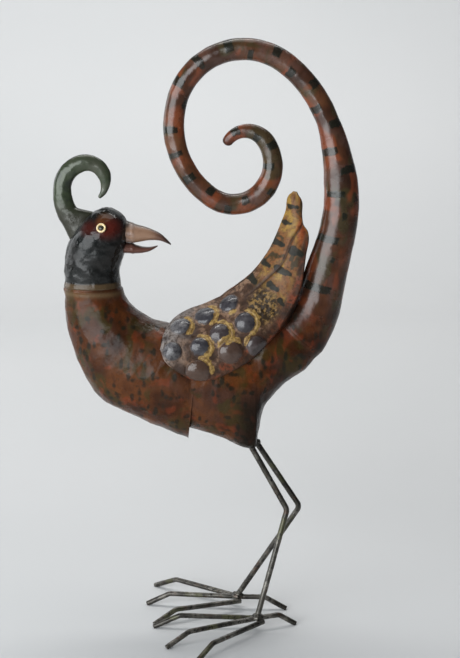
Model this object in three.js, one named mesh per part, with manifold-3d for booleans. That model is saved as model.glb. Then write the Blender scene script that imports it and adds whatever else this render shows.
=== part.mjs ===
// Pheasant sculpture of painted sheet steel, standing on two feet of bent steel rod.
// Millimetres, +Z up. The breast faces -X, the tail rises at +X, the bird's left side faces -Y,
// and the head is turned back so that the beak points along +X.
import * as THREE from 'three';
import Module from 'manifold-3d';
import { mergeVertices } from 'three/addons/utils/BufferGeometryUtils.js';

const wasm = await Module();
wasm.setup();

// Driving sizes
const birdHeight = 600;       // floor to the top of the tail
const jointGap = 0.3;         // air between two pieces that touch
const shellSheet = 1.5;       // rear lip of the breast shell
const wingSheet = 2;          // wing blade, with its rolled edge
const legRod = 6;             // leg rod diameter
const toeRod = 5.5;           // toe rod diameter
const kneeRadius = 8;         // bend of a leg rod, on its centre line
const knuckleRadius = 9;      // bend of a toe rod, on its centre line
const legSocket = 12;         // length of leg rod inside the rump
const soleDepth = 1.6;        // depth of the flat ground under each toe tip
const eyeDiameter = 10;       // eyelet ring
const pupilDiameter = 6.2;    // dark dome inside the ring
const eyeStand = 1.6;         // height of the ring over the head
const featherGroove = 4.4;    // diameter of the tool that pressed the line between the long feathers
const grooveDepth = 1.1;      // depth of that line in the wing
const beakSplit = 0.6;        // air between the two halves of the beak at the cheek
const toeDrop = 2.7;          // how far the side toes lie under the middle toe's rod
const toeOverrun = 4;         // side toe rod behind the middle of the ankle
const legSeat = 2;            // end of the leg rod over the middle of the toe rods
const eyeSeat = 4;            // depth of an eye's stem, which the head's skin trims

// The free forms below are drawn for a bird 600 tall and follow its height
const drawnHeight = 600;
const grown = birdHeight / drawnHeight;

// Facets of the round forms
const bodySides = 20;
const tubeSides = 10;
const rodSides = 8;
const eyeSides = 12;
const domeSides = 8;
const domeRows = 4;
const grooveSides = 6;
const grooveSteps = 8;
const bodySteps = 2;          // rings for each body section
const socketSteps = 6;
const wingColumns = 7;
const legBendSteps = 4;
const toeBendSteps = 3;
const tailRingTurn = 12;      // degrees of bend between two rings of the tail
const crestRingTurn = 14;
const leastArcRings = 3;

// Reach of a cutting solid past the faces that it trims
const cutOverrun = 2;
const cutMargin = 3;
const socketOverrun = 4;
const socketOverlap = 1;

// Body sections, each [back x, back z, front x, front z, half depth], from the neck up, or rearward
const headSections = [
  [-166, 355, -109, 355, 25],
  [-166, 376, -109, 374, 26],
  [-163, 396, -103, 392, 27.5],
  [-156, 410, -100, 409, 27],
  [-147, 421, -102, 422, 23],
  [-138, 430, -108, 430, 16],
  [-128, 434.5, -117, 434.5, 6],
];
const breastSections = [
  [-109, 355, -166, 355, 25],
  [-98, 337, -166, 327, 29],
  [-77, 322, -156, 284, 38],
  [-56, 316.5, -132, 241, 44],
  [-46, 315, -104, 225, 45.5],
  [-38, 314, -74, 211.5, 45.5],
  [-30, 313, -42.5, 198.5, 45],
];
const rumpSections = [
  [-36, 311.5, -60, 214, 41],
  [-20, 313, -31, 206, 42],
  [-2, 315, -5, 197, 41.5],
  [12, 318, 17, 187, 40],
  [20, 320, 26.5, 187.5, 38.5],
  [26, 321.5, 29.5, 204, 37],
  [33, 323, 35.5, 231, 35.5],
  [40, 324.5, 54.5, 253.5, 31.5],
  [45, 325.5, 76, 269, 28],
];
const bodyFullness = 2.15;    // power of the section curve
const roundFullness = 2;      // the power that makes an ellipse
const socketStart = 5.55;     // where along the breast sections its rear socket begins

// Tail and crest, each a chain of arcs [length, turn in degrees, half width at its end]
const tailRoot = { corner: [93, 288.5], heading: 50, halfWidth: 29 };
const tailArcs = [
  [40, 25, 23.5], [60, 0, 19], [60, 21, 17], [60, 14, 11.5], [70, 32, 11],
  [130, 110, 10.5], [110, 73, 10.5], [60, 90, 11], [50, 72, 9], [42, 107, 5.5],
];
const tailFlatness = 0.85;    // half depth over half width
const tipRings = [[0.75, 0.55], [0.35, 0.3]];  // rounded tip: [width, step ahead] as shares
const crestRoot = { corner: [-133.5, 391.5], heading: 103, halfWidth: 11 };
const crestArcs = [[40, 18, 11], [30, -37, 9], [30, -64, 9], [30, -92, 7], [22, -61, 2]];
const crestFlatness = 0.72;
const crestHalfDepth = 6.5;   // the crest is never deeper than this

// Beak halves, each station [x, top z, bottom z, half depth], split at the mouth line
const mouthLine = 398.9;
const upperLip = mouthLine + beakSplit / 2;
const lowerLip = mouthLine - beakSplit / 2;
const upperBeak = [
  [-108, 423, upperLip, 10.5], [-93, 417.5, upperLip, 8.8], [-81, 414, 401.2, 6.8],
  [-70, 409, 400.8, 4.8], [-64, 404, 398.8, 3.2], [-58.5, 398.2, 396.2, 1],
];
const lowerBeak = [
  [-108, lowerLip, 388.5, 9.2], [-93, lowerLip, 388.2, 7.8], [-87, 396.3, 388.5, 6.4],
  [-79, 395.4, 390, 4.6], [-72.5, 395.6, 394, 1.4],
];

// Eyes: where they sit on the head, and their section as shares of radius and stand
const eyeSpot = { along: 3.6, angle: 90 };
const ringEdge = 0.4;
const pupilRim = 0.45;
const pupilShoulder = [0.6, 0.85];

// Left wing stations, each [upper edge x, y, z, lower edge x, y, z, bulge over the chord]
const wingStations = [
  [-66.5, -28, 309.5, -68, -38.5, 300, 2],
  [-62, -19, 318.5, -64, -43.5, 290, 8],
  [-54, -11, 326.5, -56, -45.5, 282, 11],
  [-42, -7, 333, -41, -46, 273, 13],
  [-26, -5, 338.5, -22, -44, 269, 14],
  [-8, -5, 347, 4, -41, 279, 13],
  [9, -5, 358, 26, -37, 294, 12],
  [24, -5, 371, 42, -32, 311, 10],
  [35, -5, 386, 58, -30, 335, 7],
  [42, -5, 399.5, 69, -28, 359, 6],
  [49, -5, 416.5, 74, -23, 390, 5],
  [54, -5, 429.5, 77, -18, 407, 4],
  [56.5, -5, 439.5, 72, -14, 424, 3],
  [58.5, -6, 446.5, 69, -11, 441, 2],
  [62, -7, 451, 65, -9, 450.5, 0],
];
const wingFill = 16;          // how far the wing reaches in to meet the body
const wingFree = [7, 9.5];    // stations between which that filling runs out
const wingRamp = [0.05, 0.5]; // shares of the width between which it builds up
const grooveRoute = [[6.2, 0.25], [7.5, 0.3], [9, 0.45], [10.3, 0.6], [11.5, 0.78], [12.3, 1]];
const scaleRows = [
  { across: 0.28, along: [2.7, 4.2, 5.7], radius: 10.5 },
  { across: 0.53, along: [1.7, 3.4, 5, 6.4], radius: 11 },
  { across: 0.8, along: [4.2, 5.7, 7], radius: 10 },
];
const scaleRise = 4;          // height of a domed scale

// Legs and toes: [x, y, z] on the rods' centre lines, with the left side at -Y
const legs = {
  left: { hip: [22.5, -8.5, 189], knee: [58.5, -10.5, 124], ankle: [28.3, -28.8] },
  right: { hip: [28, 8.5, 189], knee: [72.5, 10.5, 120.5], ankle: [8, 28.9] },
};
const ankleHeight = 13;       // centre of the toe rods under the leg
const knuckleHeight = 13.5;   // centre of the toe rods where they bend down
// Yaw of each middle toe off -X, and for each toe its turn off the middle toe and its reach
const toes = {
  left: { yaw: -27, middle: [0, 103.5], outer: [-23, 106], inner: [26.5, 108.5], hind: [188, 42] },
  right: { yaw: 5.5, middle: [0, 97.5], outer: [25.5, 111.5], inner: [-30, 99.5], hind: [-181, 52] },
};
const knuckleAt = 0.75;       // share of a front toe's reach where it bends down
const hindKnuckleAt = 0.56;

// Colours and finish
const finish = (color, roughness, metalness) =>
  () => new THREE.MeshStandardMaterial({ color, roughness, metalness });
const darkPaint = finish('#1b1512', 0.32, 0.35);
const redBrownPaint = finish('#6a3524', 0.42, 0.35);
const tailPaint = finish('#74361f', 0.4, 0.35);
const crestPaint = finish('#3a4034', 0.4, 0.4);
const hornPaint = finish('#7a5441', 0.45, 0.3);
const darkHornPaint = finish('#4a251c', 0.45, 0.3);
const eyePaint = finish('#d9b35a', 0.4, 0.2);
const wingPaint = finish('#8a6a3a', 0.4, 0.4);
const bareSteel = finish('#4b453c', 0.45, 0.7);

const radians = THREE.MathUtils.degToRad;
const point = (x, y, z) => new THREE.Vector3(x, y, z).multiplyScalar(grown);

// Closed meshes and solids

function closedGeometry(corners, triangles) {
  const geometry = new THREE.BufferGeometry();
  const position = new Float32Array(corners.flatMap((corner) => corner.toArray()));
  geometry.setAttribute('position', new THREE.BufferAttribute(position, 3));
  geometry.setIndex(triangles);
  return geometry;
}

// Solid of a closed geometry, turned the right way out if it came from a mirrored or reversed sweep
function solidOf(source) {
  const bare = source.clone();
  bare.deleteAttribute('normal');
  bare.deleteAttribute('uv');
  const geometry = mergeVertices(bare, 1e-4);
  const corners = geometry.attributes.position;
  const index = Array.from(geometry.index.array);
  const corner = (i) => new THREE.Vector3().fromBufferAttribute(corners, index[i]);
  let volume = 0;
  for (let i = 0; i < index.length; i += 3) {
    volume += corner(i).dot(corner(i + 1).cross(corner(i + 2)));
  }
  if (volume < 0) {
    index.reverse();
  }
  const mesh = { numProp: 3, vertProperties: corners.array, triVerts: Uint32Array.from(index) };
  return new wasm.Manifold(new wasm.Mesh(mesh));
}

function geometryOf(solid) {
  const { vertProperties, triVerts } = solid.getMesh();
  const geometry = new THREE.BufferGeometry();
  geometry.setAttribute('position', new THREE.BufferAttribute(vertProperties, 3));
  geometry.setIndex(new THREE.BufferAttribute(triVerts, 1));
  return geometry;
}

const cutBy = (solid, tools) => tools.reduce((left, tool) => left.subtract(tool), solid);

// Skin over a row of rings with the same number of corners, closed by a fan at each end
function loft(rings) {
  const sides = rings[0].length;
  const corners = rings.flat();
  const triangles = [];
  for (let ring = 0; ring + 1 < rings.length; ring += 1) {
    for (let side = 0; side < sides; side += 1) {
      const a = ring * sides + side;
      const b = ring * sides + ((side + 1) % sides);
      triangles.push(a, b, b + sides, a, b + sides, a + sides);
    }
  }
  for (const [ring, reversed] of [[0, true], [rings.length - 1, false]]) {
    const middle = new THREE.Vector3();
    rings[ring].forEach((corner) => middle.addScaledVector(corner, 1 / sides));
    corners.push(middle);
    for (let side = 0; side < sides; side += 1) {
      const a = ring * sides + side;
      const b = ring * sides + ((side + 1) % sides);
      triangles.push(corners.length - 1, reversed ? b : a, reversed ? a : b);
    }
  }
  return solidOf(closedGeometry(corners, triangles));
}

// Point at an angle round a section whose long axis runs from back to front in the XZ plane
function sectionPoint({ back, front, halfDepth }, angle, fullness, grow = 0) {
  const fuller = (value) => Math.sign(value) * Math.abs(value) ** (2 / fullness);
  const middle = back.clone().add(front).multiplyScalar(0.5);
  const reach = front.clone().sub(middle);
  reach.setLength(reach.length() + grow);
  const depth = (halfDepth + grow) * fuller(Math.sin(angle));
  return middle.addScaledVector(reach, fuller(Math.cos(angle))).setY(depth);
}

function ring(section, sides, fullness, grow = 0) {
  return Array.from({ length: sides }, (_, side) =>
    sectionPoint(section, (2 * Math.PI * side) / sides, fullness, grow));
}

// Body shells

// Smooth run through a list of sections: at(t) gives back point, front point and half depth
function sectionRun(sections) {
  const curve = (pick) => new THREE.CatmullRomCurve3(sections.map(pick), false, 'centripetal');
  const backs = curve(([x, z, , , depth]) => point(x, depth, z));
  const fronts = curve(([, , x, z, depth]) => point(x, depth, z));
  const last = sections.length - 1;
  return {
    last,
    at(t) {
      const back = backs.getPoint(t / last);
      const front = fronts.getPoint(t / last);
      return { back: back.clone().setY(0), front: front.clone().setY(0), halfDepth: back.y };
    },
  };
}

// Section that a tube starts from: its root ring, square to its heading
function rootSection({ corner, heading, halfWidth }, flatness) {
  const [x, z] = corner;
  const across = 2 * halfWidth;
  const back = [x - across * Math.sin(radians(heading)), z + across * Math.cos(radians(heading))];
  return [...back, x, z, halfWidth * flatness];
}

const sectionRing = (run, t, grow = 0) => ring(run.at(t), bodySides, bodyFullness, grow);

const endProbe = 0.2;         // share of a section that tells which way is into the run

// Shell from section `from` to section `to`; `grow` offsets its skin and its two ends
function shell(run, from, to, grow = 0, stepsPerSection = bodySteps) {
  const steps = Math.max(1, Math.round((to - from) * stepsPerSection));
  const rings = [];
  for (let step = 0; step <= steps; step += 1) {
    rings.push(sectionRing(run, from + ((to - from) * step) / steps, grow));
  }
  return loft(rings);
}

// Slab on the end plane of a run, from `inside` before that plane to `outside` past it
function endSlab(run, t, inside, outside = cutOverrun, grow = cutMargin) {
  const rim = sectionRing(run, t, grow);
  const { back, front } = run.at(t);
  const ahead = run.at(t === 0 ? endProbe : t - endProbe);
  const across = front.clone().sub(back).normalize();
  const axis = new THREE.Vector3(0, 1, 0).cross(across);
  const inward = ahead.back.clone().add(ahead.front).sub(back).sub(front);
  axis.multiplyScalar(Math.sign(inward.dot(axis)));
  const moved = (distance) => rim.map((corner) => corner.clone().addScaledVector(axis, distance));
  return loft([moved(inside), moved(-outside)]);
}

const headRun = sectionRun(headSections);
const breastRun = sectionRun(breastSections);
const rumpRun = sectionRun([...rumpSections, rootSection(tailRoot, tailFlatness)]);

const headCore = shell(headRun, 0, headRun.last);
const head = headCore.subtract(endSlab(headRun, 0, jointGap / 2));
const headKeepOut = shell(headRun, 0, headRun.last, jointGap);

// Socket in the rear of the breast shell, which the front of the rump slides into
function socketWith(margin) {
  const inset = -shellSheet - margin;
  const bore = shell(breastRun, socketStart, breastRun.last, inset, socketSteps);
  return bore.add(endSlab(breastRun, breastRun.last, socketOverlap, socketOverrun, inset));
}

const breastCore = shell(breastRun, 0, breastRun.last);
const breast = cutBy(breastCore, [endSlab(breastRun, 0, jointGap / 2), socketWith(0)]);
const breastOutline = shell(breastRun, 0, breastRun.last, jointGap);
const breastKeepOut = breastOutline.subtract(socketWith(jointGap));

// Tapered tubes along a chain of arcs

// Rings square to a chain of arcs that starts with its outer edge on `corner`
function arcRings(root, arcs, halfDepthOf, degreesPerRing, grow = 0) {
  let heading = radians(root.heading);
  const side = () => point(-Math.sin(heading), 0, Math.cos(heading));
  const along = () => point(Math.cos(heading), 0, Math.sin(heading));
  const spine = point(root.corner[0], 0, root.corner[1]).addScaledVector(side(), root.halfWidth);
  const rings = [];
  const addRing = (halfWidth) => {
    const reach = side().multiplyScalar(halfWidth);
    const back = spine.clone().add(reach);
    const front = spine.clone().sub(reach);
    const halfDepth = halfDepthOf(halfWidth) * grown;
    rings.push(ring({ back, front, halfDepth }, tubeSides, roundFullness, grow));
  };
  let halfWidth = root.halfWidth;
  addRing(halfWidth);
  for (const [length, turn, endWidth] of arcs) {
    const steps = Math.max(leastArcRings, Math.ceil(Math.abs(turn) / degreesPerRing));
    const startWidth = halfWidth;
    for (let step = 1; step <= steps; step += 1) {
      heading += radians(turn) / steps / 2;
      spine.addScaledVector(along(), length / steps);
      heading += radians(turn) / steps / 2;
      halfWidth = THREE.MathUtils.lerp(startWidth, endWidth, step / steps);
      addRing(halfWidth);
    }
  }
  for (const [width, stepAhead] of tipRings) {
    spine.addScaledVector(along(), halfWidth * stepAhead);
    addRing(halfWidth * width);
  }
  return rings;
}

const tailDepth = (halfWidth) => halfWidth * tailFlatness;
const crestDepth = (halfWidth) => Math.min(halfWidth * crestFlatness, crestHalfDepth);
const tailRings = (grow) => arcRings(tailRoot, tailArcs, tailDepth, tailRingTurn, grow);
const tail = loft(tailRings(0));
const tailKeepOut = loft(tailRings(jointGap));
const crestRings = arcRings(crestRoot, crestArcs, crestDepth, crestRingTurn);
const crest = loft(crestRings).subtract(headKeepOut);

// Legs and toes of bent rod

// Curve of straight stretches joined by round bends, stepped only at its ends and along its bends
class BentRod extends THREE.Curve {
  constructor(corners, radius, bendSteps) {
    super();
    this.stops = [corners[0]];
    for (let i = 1; i + 1 < corners.length; i += 1) {
      const before = corners[i - 1].clone().sub(corners[i]).normalize();
      const after = corners[i + 1].clone().sub(corners[i]).normalize();
      const halfAngle = before.angleTo(after) / 2;
      const start = corners[i].clone().addScaledVector(before, radius / Math.tan(halfAngle));
      const toCentre = before.clone().add(after).setLength(radius / Math.sin(halfAngle));
      const centre = corners[i].clone().add(toCentre);
      const spoke = start.clone().sub(centre);
      const axis = before.clone().cross(after).normalize();
      const sweep = Math.PI - 2 * halfAngle;
      for (let step = 0; step <= bendSteps; step += 1) {
        const turned = spoke.clone().applyAxisAngle(axis, (-sweep * step) / bendSteps);
        this.stops.push(centre.clone().add(turned));
      }
    }
    this.stops.push(corners[corners.length - 1]);
  }

  getPoint(t, target = new THREE.Vector3()) {
    const travel = Math.min(t, 1) * (this.stops.length - 1);
    const stop = Math.min(Math.floor(travel), this.stops.length - 2);
    return target.lerpVectors(this.stops[stop], this.stops[stop + 1], travel - stop);
  }

  getUtoTmapping(u) {
    return u;
  }
}

function rodSolid(path, diameter) {
  const section = new THREE.Shape().absarc(0, 0, diameter / 2, 0, 2 * Math.PI);
  const options = { extrudePath: path, steps: path.stops.length - 1, curveSegments: rodSides / 2 };
  return solidOf(new THREE.ExtrudeGeometry(section, options));
}

const reachTo = (from, to, length) => from.clone().lerp(to, length / from.distanceTo(to));

// Knuckle and tip of one toe that leaves `start` turned off the yaw of the foot
function toeCorners(start, yaw, [turn, reach], knuckleShare) {
  const heading = radians(yaw + turn);
  const direction = new THREE.Vector3(-Math.cos(heading), Math.sin(heading), 0);
  const knuckle = start.clone().addScaledVector(direction, reach * knuckleShare * grown);
  knuckle.z = knuckleHeight * grown;
  const tip = start.clone().addScaledVector(direction, reach * grown);
  tip.z = toeRod / 2 - soleDepth;
  return [knuckle, tip];
}

const floorWidth = birdHeight;
const belowFloor = solidOf(new THREE.BoxGeometry(floorWidth, floorWidth, toeRod)
  .translate(0, 0, -toeRod / 2));

function footRods(side) {
  const { hip, knee, ankle } = legs[side];
  const { yaw, outer, middle, inner, hind } = toes[side];
  const heading = radians(yaw);
  const forward = new THREE.Vector3(-Math.cos(heading), Math.sin(heading), 0);
  const ankleCentre = point(ankle[0], ankle[1], 0).setZ(ankleHeight * grown);
  const legEnd = ankleCentre.clone().setZ(ankleCentre.z + legSeat);
  const hipPoint = point(...hip);
  const kneePoint = point(...knee);
  const legTop = reachTo(kneePoint, hipPoint, kneePoint.distanceTo(hipPoint) + legSocket);
  const legPath = new BentRod([legTop, kneePoint, legEnd], kneeRadius, legBendSteps);
  const front = toeCorners(ankleCentre, yaw, middle, knuckleAt);
  const back = toeCorners(ankleCentre, yaw, hind, hindKnuckleAt);
  const middleCorners = [...back.reverse(), ankleCentre, ...front];
  const sideCorners = ([turn, reach]) => {
    const across = new THREE.Vector3(0, 0, -Math.sign(turn)).cross(forward);
    const start = ankleCentre.clone().addScaledVector(forward, -toeOverrun);
    start.addScaledVector(across, Math.sqrt((toeRod + jointGap) ** 2 - toeDrop ** 2));
    start.z -= toeDrop;
    return [start, ...toeCorners(start, yaw, [turn, reach], knuckleAt)];
  };
  const paths = {
    leg: legPath,
    middle_toe: new BentRod(middleCorners, knuckleRadius, toeBendSteps),
    outer_toe: new BentRod(sideCorners(outer), knuckleRadius, toeBendSteps),
    inner_toe: new BentRod(sideCorners(inner), knuckleRadius, toeBendSteps),
  };
  const wide = jointGap * 2;
  const legAround = rodSolid(paths.leg, legRod + wide);
  const middleAround = rodSolid(paths.middle_toe, toeRod + wide);
  return {
    legAround,
    leg: rodSolid(paths.leg, legRod).subtract(middleAround),
    middle_toe: rodSolid(paths.middle_toe, toeRod).subtract(belowFloor),
    outer_toe: cutBy(rodSolid(paths.outer_toe, toeRod), [middleAround, legAround, belowFloor]),
    inner_toe: cutBy(rodSolid(paths.inner_toe, toeRod), [middleAround, legAround, belowFloor]),
  };
}

const feet = { left: footRods('left'), right: footRods('right') };

// The rump ends one gap short of the tail and has a hole for the top of each leg rod
const rump = cutBy(shell(rumpRun, 0, rumpRun.last), [
  breastKeepOut, endSlab(rumpRun, rumpRun.last, jointGap),
  feet.left.legAround, feet.right.legAround,
]);
const rumpOutline = shell(rumpRun, 0, rumpRun.last, jointGap);

// Beak

function beakHalf(stations) {
  return loft(stations.map(([x, top, bottom, depth]) => {
    const section = { back: point(x, 0, top), front: point(x, 0, bottom), halfDepth: depth * grown };
    return ring(section, tubeSides, roundFullness);
  }));
}

const upperBeakSolid = beakHalf(upperBeak).subtract(headKeepOut);
const lowerBeakSolid = beakHalf(lowerBeak).subtract(headKeepOut);

// Eyes: a rolled ring with a dome inside it, seated on the head

const skinProbe = 0.05;       // step along and round a shell that finds which way is outward

// Point and outward direction on a body shell: t along its sections, angle round the section
function skinAt(run, t, angle, side) {
  const onSkin = (station, turn) => {
    const spot = sectionPoint(run.at(station), turn, bodyFullness);
    return spot.setY(side * spot.y);
  };
  const spot = onSkin(t, angle);
  const alongSkin = onSkin(t + skinProbe, angle).sub(spot);
  const roundSkin = onSkin(t, angle + skinProbe).sub(spot);
  const outward = alongSkin.cross(roundSkin).normalize();
  return { spot, outward: outward.multiplyScalar(Math.sign(outward.y) * side) };
}

function eyeSolid(side) {
  const ringRadius = eyeDiameter / 2;
  const pupilRadius = pupilDiameter / 2;
  const profile = [
    new THREE.Vector2(0, -eyeSeat),
    new THREE.Vector2(ringRadius, -eyeSeat),
    new THREE.Vector2(ringRadius, eyeStand * ringEdge),
    new THREE.Vector2((ringRadius + pupilRadius) / 2, eyeStand),
    new THREE.Vector2(pupilRadius, eyeStand * pupilRim),
    new THREE.Vector2(pupilRadius * pupilShoulder[0], eyeStand * pupilShoulder[1]),
    new THREE.Vector2(0, eyeStand),
  ];
  const { spot, outward } = skinAt(headRun, eyeSpot.along, radians(eyeSpot.angle), side);
  const turn = new THREE.Quaternion().setFromUnitVectors(new THREE.Vector3(0, 1, 0), outward);
  const geometry = new THREE.LatheGeometry(profile, eyeSides).applyQuaternion(turn);
  geometry.translate(spot.x, spot.y, spot.z);
  return solidOf(geometry).subtract(headKeepOut);
}

// Wings

const wingCurve = (first) => new THREE.CatmullRomCurve3(
  wingStations.map((station) => point(...station.slice(first, first + 3))), false, 'centripetal');
const upperEdge = wingCurve(0);
const lowerEdge = wingCurve(3);
const lastStation = wingStations.length - 1;
const wingProbe = 0.5;        // share of a station that tells which way the wing runs

// Point on the outer face of the left wing, t along its stations and u across, with its outward
function wingFace(t, u) {
  const upper = upperEdge.getPoint(t / lastStation);
  const lower = lowerEdge.getPoint(t / lastStation);
  const before = Math.max(0, t - wingProbe) / lastStation;
  const after = Math.min(lastStation, t + wingProbe) / lastStation;
  const along = upperEdge.getPoint(after).add(lowerEdge.getPoint(after))
    .sub(upperEdge.getPoint(before)).sub(lowerEdge.getPoint(before));
  const outward = along.cross(lower.clone().sub(upper)).normalize();
  outward.multiplyScalar(-Math.sign(outward.y));
  const station = Math.min(Math.floor(t), lastStation - 1);
  const bulge = THREE.MathUtils.lerp(wingStations[station][6], wingStations[station + 1][6],
    t - station);
  const spot = upper.lerp(lower, u);
  spot.addScaledVector(outward, bulge * grown * Math.sin(Math.PI * u));
  return { spot, outward };
}

function wingRing(t, columns) {
  const filling = wingFill * grown * (1 - THREE.MathUtils.smoothstep(t, ...wingFree));
  const outer = [];
  const inner = [];
  for (let column = 0; column <= columns; column += 1) {
    const u = column / columns;
    const { spot, outward } = wingFace(t, u);
    const depth = wingSheet + filling * THREE.MathUtils.smoothstep(u, ...wingRamp);
    outer.push(spot);
    inner.unshift(spot.clone().addScaledVector(outward, -depth));
  }
  return [...outer, ...inner];
}

function scaleDome(t, u, radius) {
  const { spot, outward } = wingFace(t, u);
  const turn = new THREE.Quaternion().setFromUnitVectors(new THREE.Vector3(0, 1, 0), outward);
  const dome = new THREE.SphereGeometry(1, domeSides, domeRows);
  dome.scale(radius * grown, scaleRise * grown, radius * grown).applyQuaternion(turn);
  return solidOf(dome.translate(spot.x, spot.y, spot.z));
}

function leftWing() {
  const rings = [];
  for (let step = 0; step <= lastStation; step += 1) {
    rings.push(wingRing(step, wingColumns));
  }
  let wing = loft(rings);
  for (const { across, along, radius } of scaleRows) {
    along.forEach((t) => {
      wing = wing.add(scaleDome(t, across, radius));
    });
  }
  const route = grooveRoute.map(([t, u]) => {
    const { spot, outward } = wingFace(t, u);
    return spot.addScaledVector(outward, featherGroove / 2 - grooveDepth);
  });
  const extrudePath = new THREE.CatmullRomCurve3(route);
  const section = new THREE.Shape().absarc(0, 0, featherGroove / 2, 0, 2 * Math.PI);
  const options = { extrudePath, steps: grooveSteps, curveSegments: grooveSides / 2 };
  const channel = new THREE.ExtrudeGeometry(section, options);
  const middlePlane = new THREE.BoxGeometry(birdHeight, birdHeight, birdHeight)
    .translate(0, (birdHeight - jointGap) / 2, birdHeight / 2);
  return cutBy(wing, [
    solidOf(channel), solidOf(middlePlane), breastOutline, rumpOutline, tailKeepOut,
  ]);
}

const leftWingSolid = leftWing();
const rightWingSolid = solidOf(geometryOf(leftWingSolid).scale(1, -1, 1));

// The sculpture

const bird = new THREE.Group();

function addPiece(name, solid, material) {
  const mesh = new THREE.Mesh(geometryOf(solid), material());
  mesh.name = name;
  bird.add(mesh);
}

addPiece('head', head, darkPaint);
addPiece('breast', breast, redBrownPaint);
addPiece('rump', rump, redBrownPaint);
addPiece('tail', tail, tailPaint);
addPiece('crest', crest, crestPaint);
addPiece('upper_beak', upperBeakSolid, hornPaint);
addPiece('lower_beak', lowerBeakSolid, darkHornPaint);
addPiece('left_eye', eyeSolid(-1), eyePaint);
addPiece('right_eye', eyeSolid(1), eyePaint);
addPiece('left_wing', leftWingSolid, wingPaint);
addPiece('right_wing', rightWingSolid, wingPaint);
for (const [side, rods] of Object.entries(feet)) {
  for (const rod of ['leg', 'middle_toe', 'outer_toe', 'inner_toe']) {
    addPiece(`${side}_${rod}`, rods[rod], bareSteel);
  }
}

// Origin under the middle of the whole bird, on the floor
const bounds = new THREE.Box3().setFromObject(bird);
const centre = bounds.getCenter(new THREE.Vector3());
bird.position.set(-centre.x, -centre.y, -bounds.min.z);

const sculpture = new THREE.Group();
sculpture.add(bird);

export default sculpture;
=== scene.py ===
"""Painted sheet metal pheasant, dressed over its CAD frame.

Shapes are worked out in millimetres in the sculpture's drawing frame, where the leg sockets lie
near X = 25 and the body's middle plane is Y = 0, and are moved into the part's frame at the end.
"""
import math

import bpy
import numpy as np
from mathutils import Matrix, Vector


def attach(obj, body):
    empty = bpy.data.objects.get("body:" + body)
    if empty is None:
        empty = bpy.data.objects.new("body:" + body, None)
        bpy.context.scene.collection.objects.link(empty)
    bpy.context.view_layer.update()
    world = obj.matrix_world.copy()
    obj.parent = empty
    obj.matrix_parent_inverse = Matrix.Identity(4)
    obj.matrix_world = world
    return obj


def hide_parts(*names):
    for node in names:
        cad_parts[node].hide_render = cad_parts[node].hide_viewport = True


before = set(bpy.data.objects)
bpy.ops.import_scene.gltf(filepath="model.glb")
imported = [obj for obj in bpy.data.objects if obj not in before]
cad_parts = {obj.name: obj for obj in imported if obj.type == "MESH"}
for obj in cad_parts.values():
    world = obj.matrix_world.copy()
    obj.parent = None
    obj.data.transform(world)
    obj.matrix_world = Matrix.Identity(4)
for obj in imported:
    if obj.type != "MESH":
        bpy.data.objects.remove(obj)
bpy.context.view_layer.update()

SHIFT = np.array([23.6226, 10.6137, 0.0])
MM = 0.001

# Body sections: back x, back z, front x, front z, half depth
HEAD = [
    [-166, 355, -109, 355, 25], [-166, 376, -109, 374, 26], [-163, 396, -103, 392, 27.5],
    [-156, 410, -100, 409, 27], [-147, 421, -102, 422, 23], [-138, 430, -108, 430, 16],
    [-128, 434.5, -117, 434.5, 6],
]
BREAST = [
    [-109, 355, -166, 355, 25], [-98, 337, -166, 327, 29], [-77, 322, -156, 284, 38],
    [-56, 316.5, -132, 241, 44], [-46, 315, -104, 225, 45.5], [-38, 314, -74, 211.5, 45.5],
    [-30, 313, -42.5, 198.5, 45],
]
RUMP = [
    [-36, 311.5, -60, 214, 41], [-20, 313, -31, 206, 42], [-2, 315, -5, 197, 41.5],
    [12, 318, 17, 187, 40], [20, 320, 26.5, 187.5, 38.5], [26, 321.5, 29.5, 204, 37],
    [33, 323, 35.5, 231, 35.5], [40, 324.5, 54.5, 253.5, 31.5], [45, 325.5, 76, 269, 28],
]
# Section exponents: the body is a little squarer than an ellipse
FULLNESS, ROUND = 2.15, 2.0
# Points round a ring
HEAD_SIDES, BODY_SIDES, TUBE_SIDES = 120, 160, 56

# Tubes: root corner, heading and half width, then arcs of length, turn and half width at the end
TAIL_ROOT = (93, 288.5, 50, 29)
TAIL_ARCS = [
    (40, 25, 23.5), (60, 0, 19), (60, 21, 17), (60, 14, 11.5), (70, 32, 11), (130, 110, 10.5),
    (110, 73, 10.5), (60, 90, 11), (50, 72, 9), (42, 107, 5.5),
]
TAIL_FLATNESS = 0.85
CREST_ROOT = (-133.5, 391.5, 103, 11)
CREST_ARCS = [(40, 18, 11), (30, -37, 9), (30, -64, 9), (30, -92, 7), (22, -61, 2)]
CREST_FLATNESS = 0.72
CREST_HALF_DEPTH = 6.5

# Beak halves: x, top z, bottom z, half depth
UPPER_BEAK = [
    (-112, 424, 399.2, 11), (-104, 422, 399.2, 10.2), (-93, 417.5, 399.2, 8.8),
    (-81, 414, 401.2, 6.8), (-70, 409, 400.8, 4.8), (-64, 404, 398.8, 3.2),
    (-58.8, 398.3, 396.3, 1),
]
LOWER_BEAK = [
    (-112, 399.2, 388.8, 9.6), (-104, 399.2, 388.4, 8.9), (-98, 398.6, 388.2, 8.3),
    (-93, 396.9, 388.2, 7.6), (-87, 395.3, 388.6, 6.4), (-79, 395.0, 390.6, 4.6),
    (-72, 396.3, 394.9, 1.2),
]

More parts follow.
